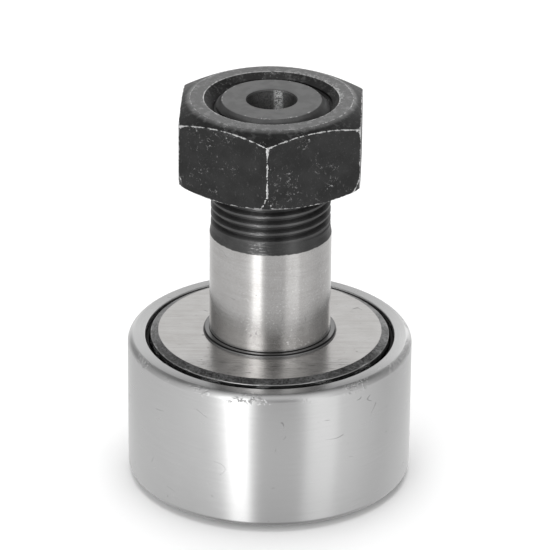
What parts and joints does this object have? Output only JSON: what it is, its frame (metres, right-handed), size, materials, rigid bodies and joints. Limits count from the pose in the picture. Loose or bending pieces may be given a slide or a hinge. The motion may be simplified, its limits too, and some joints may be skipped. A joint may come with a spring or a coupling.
{
  "type": "cam follower",
  "caption": "Stud-type cam follower: a steel roller on caged needle rollers, turning on a flanged stud with a ground shank, a threaded end and a hexagon nut.",
  "frame": {"origin": "centre of the stud's head face, which is the part's lowest face", "axes": "+Z along the stud, from its head to its threaded end; +Y towards the stud's cross holes"},
  "size_m": [0.047, 0.047, 0.067],
  "materials": {
    "ring_steel": "ground",
    "stud_steel": "ground shank and raceway, blackened thread",
    "washer_steel": "ground",
    "cage_steel": "pressed",
    "needle_steel": "superfinished",
    "seal_plastic": "moulded",
    "black_oxide": "black oxide, worn bright at the edges"
  },
  "bodies": {
    "stud_assembly": {"stud": "stud_steel", "flange_washer": "washer_steel"},
    "roller": {"outer_ring": "ring_steel", "head_side_seal": "seal_plastic", "washer_side_seal": "seal_plastic"},
    "cage": {"needle_cage": "cage_steel"},
    "nut": {"hex_nut": "black_oxide"},
    "needle_roller_01": {"needle_roller_01": "needle_steel"},
    "needle_roller_02": {"needle_roller_02": "needle_steel"},
    "needle_roller_03": {"needle_roller_03": "needle_steel"},
    "needle_roller_04": {"needle_roller_04": "needle_steel"},
    "needle_roller_05": {"needle_roller_05": "needle_steel"},
    "needle_roller_06": {"needle_roller_06": "needle_steel"},
    "needle_roller_07": {"needle_roller_07": "needle_steel"},
    "needle_roller_08": {"needle_roller_08": "needle_steel"},
    "needle_roller_09": {"needle_roller_09": "needle_steel"},
    "needle_roller_10": {"needle_roller_10": "needle_steel"},
    "needle_roller_11": {"needle_roller_11": "needle_steel"},
    "needle_roller_12": {"needle_roller_12": "needle_steel"},
    "needle_roller_13": {"needle_roller_13": "needle_steel"},
    "needle_roller_14": {"needle_roller_14": "needle_steel"},
    "needle_roller_15": {"needle_roller_15": "needle_steel"},
    "needle_roller_16": {"needle_roller_16": "needle_steel"},
    "needle_roller_17": {"needle_roller_17": "needle_steel"},
    "needle_roller_18": {"needle_roller_18": "needle_steel"}
  },
  "joints": [
    {"name": "roller_spin", "type": "hinge", "parent": "stud_assembly", "child": "roller", "pos_m": [0, 0, 0.01275], "axis": [0, 0, 1], "continuous": true},
    {"name": "cage_orbit", "type": "hinge", "parent": "stud_assembly", "child": "cage", "pos_m": [0, 0, 0.01275], "axis": [0, 0, 1], "continuous": true},
    {"name": "nut_travel", "type": "slide", "parent": "stud_assembly", "child": "nut", "axis": [0, 0, 1], "range_m": [-0.0075, 0.045]},
    {"name": "needle_roller_01_spin", "type": "hinge", "parent": "cage", "child": "needle_roller_01", "pos_m": [0.0145, 0, 0.01275], "axis": [0, 0, 1], "continuous": true},
    {"name": "needle_roller_02_spin", "type": "hinge", "parent": "cage", "child": "needle_roller_02", "pos_m": [0.01363, 0.00496, 0.01275], "axis": [0, 0, 1], "continuous": true},
    {"name": "needle_roller_03_spin", "type": "hinge", "parent": "cage", "child": "needle_roller_03", "pos_m": [0.01111, 0.00932, 0.01275], "axis": [0, 0, 1], "continuous": true},
    {"name": "needle_roller_04_spin", "type": "hinge", "parent": "cage", "child": "needle_roller_04", "pos_m": [0.00725, 0.01256, 0.01275], "axis": [0, 0, 1], "continuous": true},
    {"name": "needle_roller_05_spin", "type": "hinge", "parent": "cage", "child": "needle_roller_05", "pos_m": [0.00252, 0.01428, 0.01275], "axis": [0, 0, 1], "continuous": true},
    {"name": "needle_roller_06_spin", "type": "hinge", "parent": "cage", "child": "needle_roller_06", "pos_m": [-0.00252, 0.01428, 0.01275], "axis": [0, 0, 1], "continuous": true},
    {"name": "needle_roller_07_spin", "type": "hinge", "parent": "cage", "child": "needle_roller_07", "pos_m": [-0.00725, 0.01256, 0.01275], "axis": [0, 0, 1], "continuous": true},
    {"name": "needle_roller_08_spin", "type": "hinge", "parent": "cage", "child": "needle_roller_08", "pos_m": [-0.01111, 0.00932, 0.01275], "axis": [0, 0, 1], "continuous": true},
    {"name": "needle_roller_09_spin", "type": "hinge", "parent": "cage", "child": "needle_roller_09", "pos_m": [-0.01363, 0.00496, 0.01275], "axis": [0, 0, 1], "continuous": true},
    {"name": "needle_roller_10_spin", "type": "hinge", "parent": "cage", "child": "needle_roller_10", "pos_m": [-0.0145, 0, 0.01275], "axis": [0, 0, 1], "continuous": true},
    {"name": "needle_roller_11_spin", "type": "hinge", "parent": "cage", "child": "needle_roller_11", "pos_m": [-0.01363, -0.00496, 0.01275], "axis": [0, 0, 1], "continuous": true},
    {"name": "needle_roller_12_spin", "type": "hinge", "parent": "cage", "child": "needle_roller_12", "pos_m": [-0.01111, -0.00932, 0.01275], "axis": [0, 0, 1], "continuous": true},
    {"name": "needle_roller_13_spin", "type": "hinge", "parent": "cage", "child": "needle_roller_13", "pos_m": [-0.00725, -0.01256, 0.01275], "axis": [0, 0, 1], "continuous": true},
    {"name": "needle_roller_14_spin", "type": "hinge", "parent": "cage", "child": "needle_roller_14", "pos_m": [-0.00252, -0.01428, 0.01275], "axis": [0, 0, 1], "continuous": true},
    {"name": "needle_roller_15_spin", "type": "hinge", "parent": "cage", "child": "needle_roller_15", "pos_m": [0.00252, -0.01428, 0.01275], "axis": [0, 0, 1], "continuous": true},
    {"name": "needle_roller_16_spin", "type": "hinge", "parent": "cage", "child": "needle_roller_16", "pos_m": [0.00725, -0.01256, 0.01275], "axis": [0, 0, 1], "continuous": true},
    {"name": "needle_roller_17_spin", "type": "hinge", "parent": "cage", "child": "needle_roller_17", "pos_m": [0.01111, -0.00932, 0.01275], "axis": [0, 0, 1], "continuous": true},
    {"name": "needle_roller_18_spin", "type": "hinge", "parent": "cage", "child": "needle_roller_18", "pos_m": [0.01363, -0.00496, 0.01275], "axis": [0, 0, 1], "continuous": true}
  ],
  "couplings": [
    {"joint": "cage_orbit", "follows": "roller_spin", "ratio": 0.56897},
    {"joint": "needle_roller_01_spin", "follows": "roller_spin", "ratio": 3.556},
    {"joint": "needle_roller_02_spin", "follows": "roller_spin", "ratio": 3.556},
    {"joint": "needle_roller_03_spin", "follows": "roller_spin", "ratio": 3.556},
    {"joint": "needle_roller_04_spin", "follows": "roller_spin", "ratio": 3.556},
    {"joint": "needle_roller_05_spin", "follows": "roller_spin", "ratio": 3.556},
    {"joint": "needle_roller_06_spin", "follows": "roller_spin", "ratio": 3.556},
    {"joint": "needle_roller_07_spin", "follows": "roller_spin", "ratio": 3.556},
    {"joint": "needle_roller_08_spin", "follows": "roller_spin", "ratio": 3.556},
    {"joint": "needle_roller_09_spin", "follows": "roller_spin", "ratio": 3.556},
    {"joint": "needle_roller_10_spin", "follows": "roller_spin", "ratio": 3.556},
    {"joint": "needle_roller_11_spin", "follows": "roller_spin", "ratio": 3.556},
    {"joint": "needle_roller_12_spin", "follows": "roller_spin", "ratio": 3.556},
    {"joint": "needle_roller_13_spin", "follows": "roller_spin", "ratio": 3.556},
    {"joint": "needle_roller_14_spin", "follows": "roller_spin", "ratio": 3.556},
    {"joint": "needle_roller_15_spin", "follows": "roller_spin", "ratio": 3.556},
    {"joint": "needle_roller_16_spin", "follows": "roller_spin", "ratio": 3.556},
    {"joint": "needle_roller_17_spin", "follows": "roller_spin", "ratio": 3.556},
    {"joint": "needle_roller_18_spin", "follows": "roller_spin", "ratio": 3.556}
  ]
}
